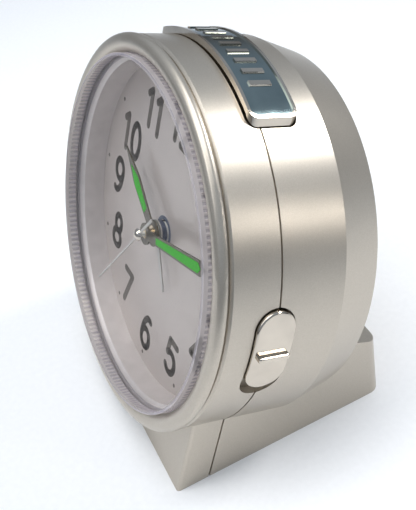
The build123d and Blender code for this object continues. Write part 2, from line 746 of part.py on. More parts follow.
def cannon_pinion():
    bore = SECOND_ARBOR_R + RUNNING_CLEARANCE
    tooth = direction(CENTRE, TIME_ARBOR)
    pinion = gear(CANNON_TEETH, CANNON_MODULE, CANNON_LEVEL, CENTRE, tooth, bore)
    return pinion + ring(CANNON_R, bore, MINUTE_HAND_Y[0], CANNON_LEVEL[0] + JOIN)


def second_wheel():
    """Second wheel, its pinion and the long arbor that carries the second hand."""
    tooth = gap_towards(CENTRE, STEP_ARBOR, SECOND_TEETH)
    wheel = gear(SECOND_TEETH, SECOND_MODULE, SECOND_LEVEL, CENTRE, tooth)
    pinion_level = (THIRD_LEVEL[0] - JOIN, SECOND_LEVEL[0] + JOIN)
    pinion_tooth = direction(CENTRE, THIRD_ARBOR)
    pinion = gear(SECOND_PINION_TEETH, THIRD_MODULE, pinion_level, CENTRE, pinion_tooth)
    return wheel + pinion + rod(SECOND_ARBOR_R, SECOND_HAND_Y[0], MOVEMENT_BACK_Y - END_SHAKE)


def second_hand():
    """Fine needle with a thin tail and a small boss."""
    low = SECOND_HAND_WIDTH_TAIL / 2
    high = SECOND_HAND_WIDTH_TIP / 2
    tail_end = [(-low, -SECOND_HAND_TAIL), (low, -SECOND_HAND_TAIL)]
    tip = [(high, SECOND_HAND_LENGTH), (-high, SECOND_HAND_LENGTH)]
    needle = Polygon(*tail_end, *tip, align=None)
    hand = slab(needle + Circle(SECOND_BOSS_R), *SECOND_HAND_Y)
    bore = rod(SECOND_ARBOR_R, SECOND_HAND_Y[0] - OVERLAP, SECOND_HAND_Y[1] + OVERLAP)
    return clock_turn(hand - bore, SECOND_ANGLE)


def hand_cap():
    """The bright domed cap over the hands."""
    height = SECOND_HAND_Y[0] - CAP_FRONT_Y
    dome_r = (CAP_R**2 + height**2) / (2 * height)
    dome = Pos(0, CAP_FRONT_Y + dome_r, 0) * Sphere(dome_r)
    return dome & behind(CAP_FRONT_Y - OVERLAP, SECOND_HAND_Y[0])


def knob_stem(front, at):
    """The stem from a wheel in the movement to the socket of its knob."""
    return rod(STEM_R, front - JOIN, KNOB_FRONT_Y + KNOB_SOCKET, at)


def setting_shaft():
    """Setting wheel, its pinion and the stem that the time knob turns."""
    wheel_tooth = gap_towards(TIME_ARBOR, CENTRE, SETTING_TEETH)
    wheel = gear(SETTING_TEETH, CANNON_MODULE, CANNON_LEVEL, TIME_ARBOR, wheel_tooth)
    pinion_level = (HOUR_LEVEL[0], CANNON_LEVEL[0] + JOIN)
    pinion_tooth = direction(TIME_ARBOR, CENTRE)
    pinion = gear(SETTING_PINION_TEETH, HOUR_MODULE, pinion_level, TIME_ARBOR, pinion_tooth)
    pivot = rod(SETTING_PIVOT_R, MOVEMENT_FRONT_Y + END_SHAKE, HOUR_LEVEL[0] + JOIN, TIME_ARBOR)
    return wheel + pinion + pivot + knob_stem(CANNON_LEVEL[1], TIME_ARBOR)


def alarm_shaft():
    """Alarm pinion and the stem that the alarm knob turns."""
    tooth = direction(ALARM_ARBOR, CENTRE)
    pinion = gear(ALARM_PINION_TEETH, ALARM_MODULE, ALARM_LEVEL, ALARM_ARBOR, tooth)
    pivot = rod(SETTING_PIVOT_R, MOVEMENT_FRONT_Y + END_SHAKE, ALARM_LEVEL[0] + JOIN, ALARM_ARBOR)
    return pinion + pivot + knob_stem(ALARM_LEVEL[1], ALARM_ARBOR)


def knob(at):
    """Ribbed finger knob with a plain crown and a socket for its stem."""
    back = KNOB_FRONT_Y + KNOB_LENGTH
    body = ribbed_disc(KNOB_R, KNOB_RIB_DEPTH, KNOB_RIBS, KNOB_FRONT_Y, back - KNOB_EDGE)
    crown = rod(KNOB_R - KNOB_EDGE, back - KNOB_EDGE - JOIN, back)
    socket = rod(STEM_R, KNOB_FRONT_Y - OVERLAP, KNOB_FRONT_Y + KNOB_SOCKET)
    return Pos(at[0], 0, at[1]) * (body + crown - socket)


def centre_wheel():
    """Wheel driven by the train; it carries the cannon pinion by friction in the real movement."""
    tooth = gap_towards(CENTRE, THIRD_ARBOR, CENTRE_WHEEL_TEETH)
    bore = SECOND_ARBOR_R + RUNNING_CLEARANCE
    return gear(CENTRE_WHEEL_TEETH, CENTRE_MODULE, CENTRE_LEVEL, CENTRE, tooth, bore)


def third_wheel():
    tooth = gap_towards(THIRD_ARBOR, CENTRE, THIRD_TEETH)
    wheel = gear(THIRD_TEETH, THIRD_MODULE, THIRD_LEVEL, THIRD_ARBOR, tooth)
    pinion_level = (CENTRE_LEVEL[0], THIRD_LEVEL[0] + JOIN)
    pinion_tooth = direction(THIRD_ARBOR, CENTRE)
    pinion = gear(THIRD_PINION_TEETH, CENTRE_MODULE, pinion_level, THIRD_ARBOR, pinion_tooth)
    return wheel + pinion + arbor(TRAIN_ARBOR_R, THIRD_LEVEL[1], THIRD_ARBOR)


def step_wheel():
    tooth = gap_towards(STEP_ARBOR, ROTOR_ARBOR, STEP_TEETH)
    wheel = gear(STEP_TEETH, STEP_MODULE, STEP_LEVEL, STEP_ARBOR, tooth)
    pinion_level = (SECOND_LEVEL[0], STEP_LEVEL[0] + JOIN)
    pinion_tooth = direction(STEP_ARBOR, CENTRE)
    pinion = gear(STEP_PINION_TEETH, SECOND_MODULE, pinion_level, STEP_ARBOR, pinion_tooth)
    return wheel + pinion + arbor(TRAIN_ARBOR_R, STEP_LEVEL[1], STEP_ARBOR)


def rotor_pinion():
    tooth = direction(ROTOR_ARBOR, STEP_ARBOR)
    pinion = gear(ROTOR_TEETH, STEP_MODULE, (ROTOR_Y[1], STEP_LEVEL[1]), ROTOR_ARBOR, tooth)
    return pinion + arbor(ROTOR_ARBOR_R, STEP_LEVEL[1], ROTOR_ARBOR)


def stator():
    """Flat iron core with a hole for the rotor and a window that the coil fills."""
    plate = block(STATOR_X, STATOR_Y, STATOR_Z)
    cut_y = grown(STATOR_Y, OVERLAP)
    window_x = (STATOR_X[0] + STATOR_LEG, STATOR_X[1] - STATOR_LEG)
    plate -= block(window_x, cut_y, grown(COIL_Z, BOBBIN_WALL + BOBBIN_FLANGE))
    plate -= block((STATOR_X[0] - OVERLAP, window_x[0] + JOIN), cut_y, grown(COIL_Z, -OVERLAP))
    return plate - rod(ROTOR_R + ROTOR_AIR_GAP, *cut_y, ROTOR_ARBOR)


def around_leg(margin, z_range):
    """A box round the coil's leg of the stator, grown by a margin."""
    return block(grown(COIL_LEG_X, margin), grown(STATOR_Y, margin), z_range)


def coil_bobbin():
    tube = around_leg(BOBBIN_WALL, COIL_Z)
    for low in (COIL_Z[0], COIL_Z[1] - BOBBIN_FLANGE):
        tube += around_leg(BOBBIN_WALL + WINDING + BOBBIN_LIP, (low, low + BOBBIN_FLANGE))
    return tube - around_leg(0, STATOR_Z)


def coil_winding():
    span = grown(COIL_Z, -BOBBIN_FLANGE)
    return around_leg(BOBBIN_WALL + WINDING, span) - around_leg(BOBBIN_WALL, span)


# ---- movement housing ----
def movement_block(margin, front, back):
    """A box of the movement's outline, shrunk by a margin at its sides."""
    x_range = grown((-MOVEMENT_HALF_WIDTH, MOVEMENT_HALF_WIDTH), -margin)
    z_range = grown((MOVEMENT_BOTTOM, MOVEMENT_TOP), -margin)
    return block(x_range, (front, back), z_range)


def movement_cover():
    """Front half of the movement case: face plate, side walls and two ears."""
    cover = movement_block(0, MOVEMENT_FRONT_Y, MOVEMENT_SPLIT_Y)
    cover -= movement_block(MOVEMENT_WALL, MOVEMENT_FRONT_Y + MOVEMENT_FACE, MOVEMENT_SPLIT_Y + OVERLAP)
    inside = movement_block(MOVEMENT_WALL, MOVEMENT_FRONT_Y, MOVEMENT_SPLIT_Y)
    for x, z in MOVEMENT_SCREWS:
        ear_y = (LEDGE_BACK_Y, MOVEMENT_EAR_BACK_Y)
        arm_x = sorted((x, x * MOVEMENT_ARM_START))
        arm = block(arm_x, ear_y, grown((z, z), MOVEMENT_ARM_HALF_WIDTH)) - inside
        cover += rod(MOVEMENT_EAR_R, *ear_y, (x, z)) + arm
        cover -= rod(MOVEMENT_SCREW_R + SCREW_CLEARANCE, *grown(ear_y, OVERLAP), (x, z))
    face_y = (MOVEMENT_FRONT_Y - OVERLAP, MOVEMENT_FRONT_Y + 2 * OVERLAP)
    pivots = ((ALARM_PIPE_R, CENTRE), (SETTING_PIVOT_R, TIME_ARBOR), (SETTING_PIVOT_R, ALARM_ARBOR))
    for radius, at in pivots:
        cover -= rod(radius + RUNNING_CLEARANCE, *face_y, at)
    return one(cover)


def movement_back():
    """Back plate of the movement, with a pivot hole for each arbor and posts that hold the stator."""
    plate = movement_block(0, MOVEMENT_SPLIT_Y, MOVEMENT_BACK_Y)
    pivots = (
        (CENTRE, SECOND_ARBOR_R),
        (THIRD_ARBOR, TRAIN_ARBOR_R),
        (STEP_ARBOR, TRAIN_ARBOR_R),
        (ROTOR_ARBOR, ROTOR_ARBOR_R),
        (TIME_ARBOR, STEM_R),
        (ALARM_ARBOR, STEM_R),
    )
    for at, radius in pivots:
        hole_y = grown((MOVEMENT_SPLIT_Y, MOVEMENT_BACK_Y), OVERLAP)
        plate -= rod(radius + RUNNING_CLEARANCE, *hole_y, at)
    for at in STATOR_POSTS:
        plate += rod(STATOR_POST_R, STATOR_Y[1], MOVEMENT_SPLIT_Y + JOIN, at)
    return plate


def movement_screws():
    head_y = (MOVEMENT_EAR_BACK_Y, MOVEMENT_EAR_BACK_Y + MOVEMENT_SCREW_HEAD)
    shank_y = (DIAL_BACK_Y + JOIN, MOVEMENT_EAR_BACK_Y + JOIN)
    return [
        rod(MOVEMENT_SCREW_HEAD_R, *head_y, at) + rod(MOVEMENT_SCREW_R, *shank_y, at)
        for at in MOVEMENT_SCREWS
    ]


# ---- electronics ----
def circuit_board():
    board = block(BOARD_X, BOARD_Y, BOARD_Z)
    thickness = BOARD_Z[1] - BOARD_Z[0]
    for x, y in BOARD_HOLES:
        board -= Pos(x, y, sum(BOARD_Z) / 2) * Cylinder(BOARD_HOLE_R, 2 * thickness)
    return board


def on_board(x_range, y_range, height):
    """A box standing on the circuit board."""
    return block(x_range, y_range, (BOARD_Z[1], BOARD_Z[1] + height))


def quartz_crystal():
    x, y = CRYSTAL_AT
    return Pos(x, y, BOARD_Z[1] + CRYSTAL_R) * Rot(90, 0, 0) * Cylinder(CRYSTAL_R, CRYSTAL_LENGTH)


def snooze_contact():
    """Push contact under the snooze bar's post."""
    y_range = grown((CONTACT_Y, CONTACT_Y), CONTACT_HALF)
    body = on_board((-CONTACT_HALF, CONTACT_HALF), y_range, CONTACT_HEIGHT)
    plunger_z = BOARD_Z[1] + CONTACT_HEIGHT + PLUNGER_HEIGHT / 2
    plunger = Pos(0, CONTACT_Y, plunger_z - JOIN / 2) * Cylinder(PLUNGER_R, PLUNGER_HEIGHT + JOIN)
    return body + plunger


def dial_lamp():
    """Small lamp that lights the dial from behind."""
    z = BOARD_Z[1] + LAMP_RISE
    bulb = rod(LAMP_R, LAMP_FRONT_Y + LAMP_R, LAMP_BACK_Y, (LAMP_X, z))
    tip = Pos(LAMP_X, LAMP_FRONT_Y + LAMP_R, z) * Sphere(LAMP_R)
    collar = rod(LAMP_COLLAR_R, LAMP_BACK_Y - LAMP_COLLAR, LAMP_BACK_Y, (LAMP_X, z))
    return bulb + tip + collar


def sounder():
    """Round sounder pressed against the holes in the back."""
    back = BACK_Y - WALL
    shell = rod(SOUNDER_R, back - SOUNDER_LENGTH, back, SOUNDER_AT)
    return shell - rod(SOUNDER_CUP_R, back - OVERLAP, back + OVERLAP, SOUNDER_AT)


# ---- battery ----
def lying_rod(radius, low, high):
    """A cylinder on the battery's axis, between two x limits."""
    return Pos((low + high) / 2, BATTERY_Y, BATTERY_Z) * Rot(0, 90, 0) * Cylinder(radius, high - low)


def battery():
    """A plain AA cell."""
    half = BATTERY_LENGTH / 2
    can = fillet(lying_rod(BATTERY_R, -half, half - BATTERY_NUB).edges(), BATTERY_EDGE)
    return can + lying_rod(BATTERY_NUB_R, half - BATTERY_NUB - JOIN, half)


def positive_contact():
    """Flat strip with a dimple that meets the cell's nub."""
    half = BATTERY_LENGTH / 2
    near, far = POSITIVE_PLATE
    strip = block((half + near, half + far), CONTACT_PLATE_Y, CONTACT_PLATE_Z)
    return strip + lying_rod(POSITIVE_DIMPLE_R, half, half + near + JOIN)


def negative_contact():
    """Coil spring against the cell's flat end, on a plate."""
    end = -BATTERY_LENGTH / 2
    near, far = NEGATIVE_PLATE
    plate = block((end - far, end - near), CONTACT_PLATE_Y, CONTACT_PLATE_Z)
    reach = near - 2 * SPRING_WIRE_R - JOIN
    path = Helix(reach / SPRING_TURNS, reach, SPRING_R)
    section = Plane(origin=path @ 0, z_dir=path % 0) * Circle(SPRING_WIRE_R)
    coil = sweep(section, path=path)
    start = end - near + SPRING_SET_IN * SPRING_WIRE_R
    return plate + Pos(start, BATTERY_Y, BATTERY_Z) * Rot(0, 90, 0) * coil


def door_block(lap, front, back):
    """The battery door's outline, wider than the tray by a lap."""
    half = TRAY_HALF_LENGTH + lap
    rise = lap - DOOR_LAP + DOOR_LAP_Z
    return block((-half, half), (front, back), grown((TRAY_BOTTOM, TRAY_TOP), rise))


def battery_door():
    """Lid flush with the back, with finger grooves near its top edge."""
    door = door_block(DOOR_LAP - DOOR_GAP, DOOR_FRONT_Y, BACK_Y)
    top = TRAY_TOP + DOOR_LAP_Z - DOOR_GAP
    for step in range(DOOR_GROOVES):
        z = top - DOOR_GROOVE_FIRST - DOOR_GROOVE_PITCH * step
        door -= block(
            (-DOOR_GROOVE_HALF_LENGTH, DOOR_GROOVE_HALF_LENGTH),
            (BACK_Y - DOOR_GROOVE_DEPTH, BACK_Y + OVERLAP),
            grown((z, z), DOOR_GROOVE_HALF_WIDTH),
        )
    return door


# ---- snooze bar and alarm switch ----
def snooze_bar():
    """Chromed bar with a thin raised rim, and a post that reaches the contact."""
    bar = ring(SNOOZE_TOP_R, SNOOZE_BOTTOM_R, -FAR, FAR) & snooze_outline(0)
    bar -= snooze_outline(-SNOOZE_RIM) - rod(SNOOZE_FLOOR_R, -FAR, FAR)
    contact_top = BOARD_Z[1] + CONTACT_HEIGHT + PLUNGER_HEIGHT
    post_z = (contact_top + SNOOZE_TRAVEL + SNOOZE_POST_GAP, SNOOZE_BOTTOM_R + OVERLAP)
    post = Pos(0, CONTACT_Y, sum(post_z) / 2) * Cylinder(SNOOZE_POST_R, post_z[1] - post_z[0])
    return one(bar + post)


def snooze_insert():
    """Dark mirror strip inside the rim."""
    return one(ring(SNOOZE_INSERT_R, SNOOZE_FLOOR_R, -FAR, FAR) & snooze_outline(-SNOOZE_RIM))


def snooze_marks():
    """Plain raised grip bars along the strip."""
    middle = (SNOOZE_FRONT_Y + SNOOZE_BACK_Y) / 2
    band_y = grown((middle, middle), SNOOZE_MARK_HALF_LENGTH)
    band = ring(SNOOZE_INSERT_R + SNOOZE_MARK_HEIGHT, SNOOZE_INSERT_R, *band_y)
    marks = []
    for step in range(SNOOZE_MARKS):
        x = SNOOZE_MARK_PITCH * (step - (SNOOZE_MARKS - 1) / 2)
        cutter = block(grown((x, x), SNOOZE_MARK_HALF_WIDTH), band_y, SIDE_X)
        marks.append(one(band & cutter))
    return marks


def switch_cap():
    """Curved slider with a grip rib; a stem reaches in to the contact block."""
    half_width = SWITCH_HALF_WIDTH - SWITCH_SIDE_GAP
    outline = switch_outline(SWITCH_CAP_BOTTOM, SWITCH_CAP_TOP, half_width)
    cap = one(ring(SWITCH_CAP_R, SWITCH_GUIDE_R + SWITCH_GUIDE_GAP, -FAR, FAR) & outline)
    outer_face = cap.faces().sort_by(Axis.X)[-1]
    cap = fillet(outer_face.edges(), SWITCH_CAP_EDGE)
    rib = block(
        (DRUM_R - OVERLAP, SWITCH_CAP_R + SWITCH_RIB_HEIGHT),
        grown((SWITCH_CENTRE_Y, SWITCH_CENTRE_Y), SWITCH_RIB_HALF_LENGTH),
        grown((SWITCH_RIB_Z, SWITCH_RIB_Z), SWITCH_RIB_HALF_WIDTH),
    )
    stem = block(SWITCH_STEM_X, SWITCH_STEM_Y, SWITCH_STEM_Z)
    return one(cap + fillet(rib.edges(), SWITCH_RIB_EDGE) + stem)


def switch_guide():
    """Thin curved plate inside the case wall that closes the switch's pocket."""
    plate = ring(SWITCH_GUIDE_R, SWITCH_GUIDE_R - SWITCH_GUIDE_WALL, -FAR, FAR) & switch_guide_window()
    return one(plate - block(SIDE_X, SWITCH_STEM_ROOM_Y, SWITCH_STEM_ROOM_Z))


def slide_switch():
    """Contact block that the slider's stem works."""
    body = block(SWITCH_BLOCK_X, SWITCH_BLOCK_Y, SWITCH_BLOCK_Z)
    slot_y = grown(SWITCH_STEM_ROOM_Y, SLOT_MARGIN)
    slot_z = grown(SWITCH_STEM_ROOM_Z, SLOT_MARGIN)
    return body - block((SWITCH_BLOCK_SLOT_X, SIDE_X[1]), slot_y, slot_z)


# ---- case screws ----
def cross_recess(at, y):
    """The cross cut into a screw's head."""
    x, z = at
    depth = (y - RECESS_DEPTH, y + OVERLAP)
    long_x, long_z = (grown((value, value), RECESS_HALF_LENGTH) for value in (x, z))
    thin_x, thin_z = (grown((value, value), RECESS_HALF_WIDTH) for value in (x, z))
    return block(long_x, depth, thin_z) + block(thin_x, depth, long_z)


def back_screws():
    head_back = BACK_SCREW_SEAT_Y + SCREW_HEAD_LENGTH
    return [
        rod(SCREW_HEAD_R, BACK_SCREW_SEAT_Y, head_back, at)
        + rod(SCREW_R, BACK_SCREW_FRONT_Y, BACK_SCREW_SEAT_Y + JOIN, at)
        - cross_recess(at, head_back)
        for at in BACK_SCREWS
    ]


def base_screws():
    return [
        upright_rod(SCREW_HEAD_R, JOIN, BASE_SCREW_SINK, x)
        + upright_rod(SCREW_R, BASE_SCREW_SINK - JOIN, BASE_LUG_TOP - 2 * SCREW_R, x)
        for x in (-BASE_SCREW_X, BASE_SCREW_X)
    ]


def all_nodes():
    """Every node's solids, in the drum's frame."""
    return {
        "front_case": front_case(),
        "rear_case": rear_case(),
        "bezel_ring": bezel_ring(),
        "lens": lens(),
        "dial_ring": dial_ring(),
        "dial": dial(),
        "alarm_hand": alarm_hand(),
        "alarm_wheel": alarm_wheel(),
        "hour_hand": shaped_hand(HOUR_HAND, HOUR_HAND_Y, HOUR_PIPE_R, HOUR_LUME, HOUR_ANGLE),
        "hour_hand_lume": hand_lume(HOUR_LUME, HOUR_HAND_Y, HOUR_ANGLE),
        "hour_wheel": hour_wheel(),
        "minute_hand": shaped_hand(MINUTE_HAND, MINUTE_HAND_Y, CANNON_R, MINUTE_LUME, MINUTE_ANGLE),
        "minute_hand_lume": hand_lume(MINUTE_LUME, MINUTE_HAND_Y, MINUTE_ANGLE),
        "cannon_pinion": cannon_pinion(),
        "second_hand": second_hand(),
        "second_wheel": second_wheel(),
        "hand_cap": hand_cap(),
        "setting_shaft": setting_shaft(),
        "time_set_knob": knob(TIME_ARBOR),
        "alarm_shaft": alarm_shaft(),
        "alarm_set_knob": knob(ALARM_ARBOR),
        "centre_wheel": centre_wheel(),
        "third_wheel": third_wheel(),
        "step_wheel": step_wheel(),
        "rotor_pinion": rotor_pinion(),
        "rotor_magnet": rod(ROTOR_R, *ROTOR_Y, ROTOR_ARBOR),
        "stator": stator(),
        "coil_bobbin": coil_bobbin(),
        "coil_winding": coil_winding(),
        "movement_cover": movement_cover(),
        "movement_back": movement_back(),
        "movement_screws": movement_screws(),
        "circuit_board": circuit_board(),
        "quartz_crystal": quartz_crystal(),
        "control_chip": on_board(CHIP_X, CHIP_Y, CHIP_HEIGHT),
        "snooze_contact": snooze_contact(),
        "dial_lamp": dial_lamp(),
        "sounder": sounder(),
        "battery": battery(),
        "positive_contact": positive_contact(),
        "negative_contact": negative_contact(),
        "battery_door": battery_door(),
        "snooze_bar": snooze_bar(),
        "snooze_insert": snooze_insert(),
        "snooze_marks": snooze_marks(),
        "switch_cap": switch_cap(),
        "switch_guide": switch_guide(),
        "slide_switch": slide_switch(),
        "back_screws": back_screws(),
        "base_screws": base_screws(),
    }


def as_compound(shape):
    """One solid, or one flat group of solids, for export."""
    parts = shape if isinstance(shape, list) else [shape]
    flat = [solid for part in parts for solid in part.solids()]
    return flat[0] if len(flat) == 1 else Compound(flat)


def stand_up(nodes):
    """Leans the clock back on its foot and centres it over the ground."""
    leaned = {name: Rot(-TILT, 0, 0) * as_compound(shape) for name, shape in nodes.items()}
    box = Compound(list(leaned.values())).bounding_box()
    place = Pos(-(box.min.X + box.max.X) / 2, -(box.min.Y + box.max.Y) / 2, -box.min.Z)
    return {name: place * shape for name, shape in leaned.items()}, place


if __name__ == "__main__":
    os.makedirs("parts", exist_ok=True)
    standing, _ = stand_up(all_nodes())
    for name, shape in standing.items():
        export_step(shape, f"parts/{name}.step")
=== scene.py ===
"""Travel alarm clock: finishes, dial printing, floor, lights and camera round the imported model."""
import json
import math

import bmesh
import bpy
from mathutils import Matrix, Vector


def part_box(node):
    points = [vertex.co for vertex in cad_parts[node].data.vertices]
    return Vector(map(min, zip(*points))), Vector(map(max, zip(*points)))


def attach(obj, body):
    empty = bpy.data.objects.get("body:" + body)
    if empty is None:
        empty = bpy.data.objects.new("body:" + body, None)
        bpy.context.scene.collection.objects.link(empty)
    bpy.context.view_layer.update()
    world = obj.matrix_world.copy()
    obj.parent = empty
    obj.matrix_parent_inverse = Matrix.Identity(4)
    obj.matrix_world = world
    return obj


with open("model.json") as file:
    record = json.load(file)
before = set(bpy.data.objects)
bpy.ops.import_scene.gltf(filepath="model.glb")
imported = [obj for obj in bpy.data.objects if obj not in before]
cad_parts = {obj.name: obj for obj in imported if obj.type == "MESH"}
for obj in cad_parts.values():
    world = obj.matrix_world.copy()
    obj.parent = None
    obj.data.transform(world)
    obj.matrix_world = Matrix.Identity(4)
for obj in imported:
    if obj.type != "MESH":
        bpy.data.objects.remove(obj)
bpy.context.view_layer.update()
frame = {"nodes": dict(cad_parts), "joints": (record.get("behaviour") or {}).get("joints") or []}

MM = 0.001

# The hands turn about the drum's axis, so their joint gives the clock's own frame.
hands_joint = next(joint for joint in frame["joints"] if joint["name"] == "second_hand_turn")
DRUM_AXIS = Vector(hands_joint["axis"])
DRUM_CENTRE = Vector(hands_joint["pos_m"])
CLOCK_RIGHT = Vector((1, 0, 0))
CLOCK_UP = CLOCK_RIGHT.cross(DRUM_AXIS).normalized()

# Dial printing: the circle of numerals sits a little below the hands' centre, and the 10 lower still
DIAL_THICKNESS = 1.0 * MM
HOUR_TURN = math.radians(30)
NUMERAL_CENTRE_R = 29.0 * MM
NUMERAL_DROP = 1.5 * MM
TEN_DROP = 1.1 * MM
NUMERAL_HEIGHT = 8.8 * MM
NUMERAL_WIDTH = 8.6 * MM
NUMERAL_STROKE = 1.8 * MM
DIGIT_STEP = 5.9 * MM
ONE_STEP = 5.1 * MM
HOUR_DOT_CENTRE_R = 37.0 * MM
HOUR_DOT_R = 0.5 * MM
HUB_RING = (2.95 * MM, 3.9 * MM)
INK_THICKNESS = 0.04 * MM
ARC_STEP_DEGREES = 10
DISC_SIDES = 20
RING_SIDES = 64

# The dark collar under the alarm hand, by its height above the dial
COLLAR_HEIGHT = 1.65 * MM
COLLAR_COLOUR = (0.05, 0.065, 0.11)

# The lens's side, by distance from the drum's axis: its front edge, the grooves' floor and the ribs' tops
LENS_EDGE_R = 40.2 * MM
LENS_GROOVE_R = 40.45 * MM
LENS_RIB_R = 40.75 * MM
LENS_RAMP_LENGTH = 1.0 * MM
# The front edge's and grooves' dark colours are painted shade; the ribs' pale colour is the frosted side's
# own tone
LENS_EDGE_SHADE_COLOUR = (0.46, 0.42, 0.43)
LENS_GROOVE_SHADE_COLOUR = (0.44, 0.40, 0.45)
LENS_RIB_COLOUR = (0.64, 0.585, 0.59)

# Camera, at the photograph's angle
CAMERA_AZIMUTH = math.radians(73.73)
CAMERA_ELEVATION = math.radians(42.74)
CAMERA_ROLL = math.radians(13.32)
CAMERA_DISTANCE = 203.8 * MM
CAMERA_TARGET = Vector((5.586, -1.734, 38.672)) * MM
CAMERA_LENS = 61.18
CAMERA_SENSOR = 36
CAMERA_NEAR = 10 * MM

FLOOR_SIZE = 6.0
FLOOR_CELLS = 8
FLOOR_COLOURS = ((0.90, 0.90, 0.90), (0.93, 0.93, 0.93))

# The room beyond the floor: its colour at the horizon and overhead, and the height of the change between them
ROOM_COLOURS = ((0.22, 0.21, 0.20), (0.74, 0.85, 1.0))
ROOM_CHANGE = (0.0, 0.40)
ROOM_STRENGTH = 0.5

# Noise mostly lies in this range, so it is what tones and gloss are spread over.
NOISE_LOW = 0.3
NOISE_HIGH = 0.7
NOISE_ROUGHNESS = 0.55
COAT_ROUGHNESS = 0.05

# Silver paint
FLAKE_SCALE = 9000
FLAKE_COLOURS = ((0.485, 0.437, 0.370), (0.54, 0.491, 0.423))
FLAKE_RANGE = (0.1, 0.95)
FLAKE_DEPTH = 0.003 * MM
FLAKE_STRENGTH = 0.2
PAINT_CLOUD_SCALE = 45
PAINT_ROUGHNESS = (0.33, 0.38)
PAINT_METALLIC = 0.86
PAINT_COAT = 0.12
PAINT_COAT_ROUGHNESS = 0.25

# Clear plastic
CLEAR_CLOUD_SCALE = 60
CLEAR_ROUGHNESS = (0.04, 0.07)
CLEAR_TINTS = ((0.86, 0.85, 0.87), (0.93, 0.92, 0.94))
SLANT_BLEND = 0.5
SLANT_POWER = 3.0

# Brushed metal, with its lines stretched along one direction
BRUSH_SCALE = 900
BRUSH_STRETCH = (1, 1, 14)
BRUSH_DEPTH = 0.006 * MM
BRUSH_STRENGTH = 0.4

# Silver lacquer on the two thin hands
LACQUER_COLOURS = ((0.36, 0.34, 0.315), (0.44, 0.415, 0.385))
LACQUER_ROUGHNESS = (0.30, 0.42)
LACQUER_METALLIC = 0.3
LACQUER_TONE_SCALE = 600
LACQUER_GRAIN_SCALE = 4000
LACQUER_GRAIN_DEPTH = 0.003 * MM

# Luminous paint, brightened by a painted glow
LUME_SCALE = 2400
LUME_COLOURS = ((0.016, 0.26, 0.004), (0.032, 0.35, 0.010))
LUME_PAINTED_GLOW = 0.15
LUME_ROUGHNESS = 0.6
LUME_SPECULAR = 0.25
LUME_GRAIN_DEPTH = 0.01 * MM
LUME_GRAIN_STRENGTH = 0.5

# Floor paper
FIBRE_SCALE = 700
FIBRE_DEPTH = 0.02 * MM
FIBRE_STRENGTH = 0.3
PAPER_ROUGHNESS = 0.75
PAPER_SPECULAR = 0.2

# The dial's front face is where the box of its tilted disc is cut by the drum's axis.
dial_low, dial_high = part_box("dial")
dial_middle = (dial_low + dial_high) / 2
dial_centre = DRUM_CENTRE + DRUM_AXIS * ((dial_middle - DRUM_CENTRE).dot(DRUM_AXIS) - DIAL_THICKNESS / 2)
collar_depth = dial_centre.dot(DRUM_AXIS) - COLLAR_HEIGHT


# ---------------------------------------------------------------- materials

def new_material(name):
    """A node material with its Principled shader."""
    made = bpy.data.materials.new(name)
    made.use_nodes = True
    return made, made.node_tree, made.node_tree.nodes["Principled BSDF"]


def object_noise(tree, scale, detail=3.0, stretch=(1, 1, 1)):
    """Noise fixed to the object, with scale in features per metre."""
    place = tree.nodes.new("ShaderNodeTexCoord")
    mapping = tree.nodes.new("ShaderNodeMapping")
    mapping.inputs["Scale"].default_value = stretch
    noise = tree.nodes.new("ShaderNodeTexNoise")
    noise.inputs["Scale"].default_value = scale
    noise.inputs["Detail"].default_value = detail
    noise.inputs["Roughness"].default_value = NOISE_ROUGHNESS
    tree.links.new(place.outputs["Object"], mapping.inputs["Vector"])
    tree.links.new(mapping.outputs["Vector"], noise.inputs["Vector"])
    return noise.outputs["Fac"]


def colour_between(tree, amount, dark, light, start=NOISE_LOW, end=NOISE_HIGH):
    """A colour that goes from dark to light as the amount goes from start to end."""
    ramp = tree.nodes.new("ShaderNodeValToRGB")
    ramp.color_ramp.elements[0].position = start
    ramp.color_ramp.elements[0].color = (*dark, 1)
    ramp.color_ramp.elements[1].position = end
    ramp.color_ramp.elements[1].color = (*light, 1)
    tree.links.new(amount, ramp.inputs["Fac"])
    return ramp.outputs["Color"]


def number_between(tree, amount, low, high):
    """A number that goes from low to high over the range of the noise."""
    spread = tree.nodes.new("ShaderNodeMapRange")
    spread.inputs["From Min"].default_value = NOISE_LOW
    spread.inputs["From Max"].default_value = NOISE_HIGH
    spread.inputs["To Min"].default_value = low
    spread.inputs["To Max"].default_value = high
    tree.links.new(amount, spread.inputs["Value"])
    return spread.outputs["Result"]


def bump(tree, shader, height, depth, strength=1.0):
    """Raises the surface by depth, in metres, where the height is 1."""
    node = tree.nodes.new("ShaderNodeBump")
    node.inputs["Strength"].default_value = strength
    node.inputs["Distance"].default_value = depth
    tree.links.new(height, node.inputs["Height"])
    tree.links.new(node.outputs["Normal"], shader.inputs["Normal"])


def mottled(name, dark, light, metallic, rough, tone_scale, grain_scale, grain_depth, coat=0.0):
    """A moulded, painted or plated finish: tone and gloss vary slowly, and a fine grain gives it texture."""
    made, tree, shader = new_material(name)
    tone = object_noise(tree, tone_scale)
    grain = object_noise(tree, grain_scale, detail=2.0)
    tree.links.new(colour_between(tree, tone, dark, light), shader.inputs["Base Color"])
    tree.links.new(number_between(tree, tone, *rough), shader.inputs["Roughness"])
    shader.inputs["Metallic"].default_value = metallic
    shader.inputs["Coat Weight"].default_value = coat
    shader.inputs["Coat Roughness"].default_value = COAT_ROUGHNESS
    bump(tree, shader, grain, grain_depth)
    return made


